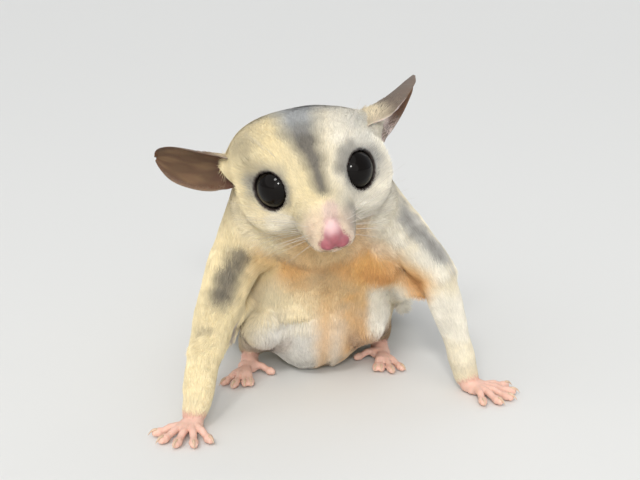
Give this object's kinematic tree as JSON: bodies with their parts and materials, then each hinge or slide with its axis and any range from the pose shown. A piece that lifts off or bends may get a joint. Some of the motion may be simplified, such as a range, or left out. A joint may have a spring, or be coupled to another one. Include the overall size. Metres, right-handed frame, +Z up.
{
  "type": "sugar glider",
  "caption": "Life-size still sugar glider with a cream and grey coat, sitting and leaning on both hands, head turned to the viewer, bushy tail laid out behind.",
  "frame": {"origin": "on the floor, in the middle of the small flat under the rump on which the animal sits", "axes": "+Z up, the animal faces -Y, its left side is +X, its tail runs along +Y"},
  "size_m": [0.0897, 0.2918, 0.0765],
  "materials": {
    "coat": "soft short fur, cream with grey markings",
    "bare_skin": "thin bare skin, satin",
    "eye": "wet gloss"
  },
  "bodies": {
    "root": {"ear_left": "bare_skin", "ear_right": "bare_skin", "eye_left": "eye", "eye_right": "eye", "foot_left": "bare_skin", "foot_right": "bare_skin", "forearm_left": "coat", "forearm_right": "coat", "hand_left": "bare_skin", "hand_right": "bare_skin", "head": "coat", "membrane_left": "coat", "membrane_right": "coat", "neck": "coat", "shank_left": "coat", "shank_right": "coat", "tail_1": "coat", "tail_2": "coat", "tail_3": "coat", "thigh_left": "coat", "thigh_right": "coat", "torso": "coat", "upper_arm_left": "coat", "upper_arm_right": "coat"}
  },
  "joints": []
}
